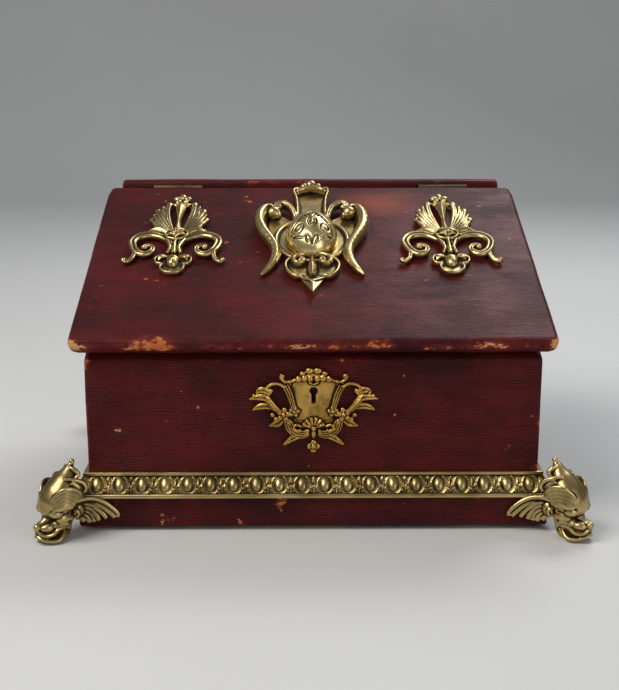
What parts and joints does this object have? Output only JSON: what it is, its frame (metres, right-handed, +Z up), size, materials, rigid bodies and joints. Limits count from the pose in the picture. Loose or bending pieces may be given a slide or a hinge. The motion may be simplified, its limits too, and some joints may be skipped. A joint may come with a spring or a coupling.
{
  "type": "leather jewellery case",
  "caption": "Leather-covered jewellery case with a sloping hinged lid, brass palmettes and cartouche, keyhole escutcheon, egg-and-dart moulding and dolphin feet.",
  "frame": {"origin": "on the ground, in the middle of the box round the whole case", "axes": "+X to the right along the width, +Y from the front to the back, +Z up; the keyhole faces -Y"},
  "size_m": [0.3452, 0.2652, 0.1981],
  "materials": {
    "leather": "straight-grain, half gloss, worn at the edges",
    "brass": "cast, aged, dark in the hollows",
    "gilt_brass": "cast, warmer gilt, aged",
    "velvet": "short pile velvet",
    "wood": "plain planed board",
    "steel": "dull worked steel"
  },
  "bodies": {
    "case": {"front_board": "wood", "back_board": "wood", "left_board": "wood", "right_board": "wood", "bottom_board": "wood", "plinth_board": "wood", "case_leather": "leather", "plinth_leather": "leather", "back_rail": "leather", "moulding_front": "brass", "moulding_back": "brass", "moulding_left": "brass", "moulding_right": "brass", "foot_front_left": "brass", "foot_front_right": "brass", "foot_back_left": "brass", "foot_back_right": "brass", "foot_screw_front_left": "steel", "foot_screw_front_right": "steel", "foot_screw_back_left": "steel", "foot_screw_back_right": "steel", "escutcheon": "gilt_brass", "escutcheon_pin_left": "gilt_brass", "escutcheon_pin_right": "gilt_brass", "escutcheon_floret": "gilt_brass", "hinge_rail_leaf_left": "brass", "hinge_rail_screw_left_1": "brass", "hinge_rail_screw_left_2": "brass", "hinge_pin_left": "steel", "hinge_rail_leaf_right": "brass", "hinge_rail_screw_right_1": "brass", "hinge_rail_screw_right_2": "brass", "hinge_pin_right": "steel", "lock_case": "steel", "lock_key_pin": "steel", "lock_selvedge": "brass", "lining_front": "velvet", "lining_back": "velvet", "lining_left": "velvet", "lining_right": "velvet", "floor_pad": "velvet"},
    "lid": {"lid_board": "wood", "lid_leather": "leather", "palmette_left": "brass", "palmette_right": "brass", "cartouche": "brass", "cartouche_dome": "brass", "hinge_lid_leaf_left": "brass", "hinge_lid_screw_left_1": "brass", "hinge_lid_screw_left_2": "brass", "hinge_lid_leaf_right": "brass", "hinge_lid_screw_right_1": "brass", "hinge_lid_screw_right_2": "brass", "strike_plate": "brass", "lid_pad": "velvet"},
    "lock_bolt": {"lock_bolt": "steel"}
  },
  "joints": [
    {"name": "lid_hinge", "type": "hinge", "parent": "case", "child": "lid", "pos_m": [0, 0.0842, 0.19299], "axis": [-1, 0, 0], "range_deg": [0, 116]},
    {"name": "bolt_slide", "type": "slide", "parent": "case", "child": "lock_bolt", "axis": [1, 0, 0], "range_m": [0, 0.0055]}
  ]
}
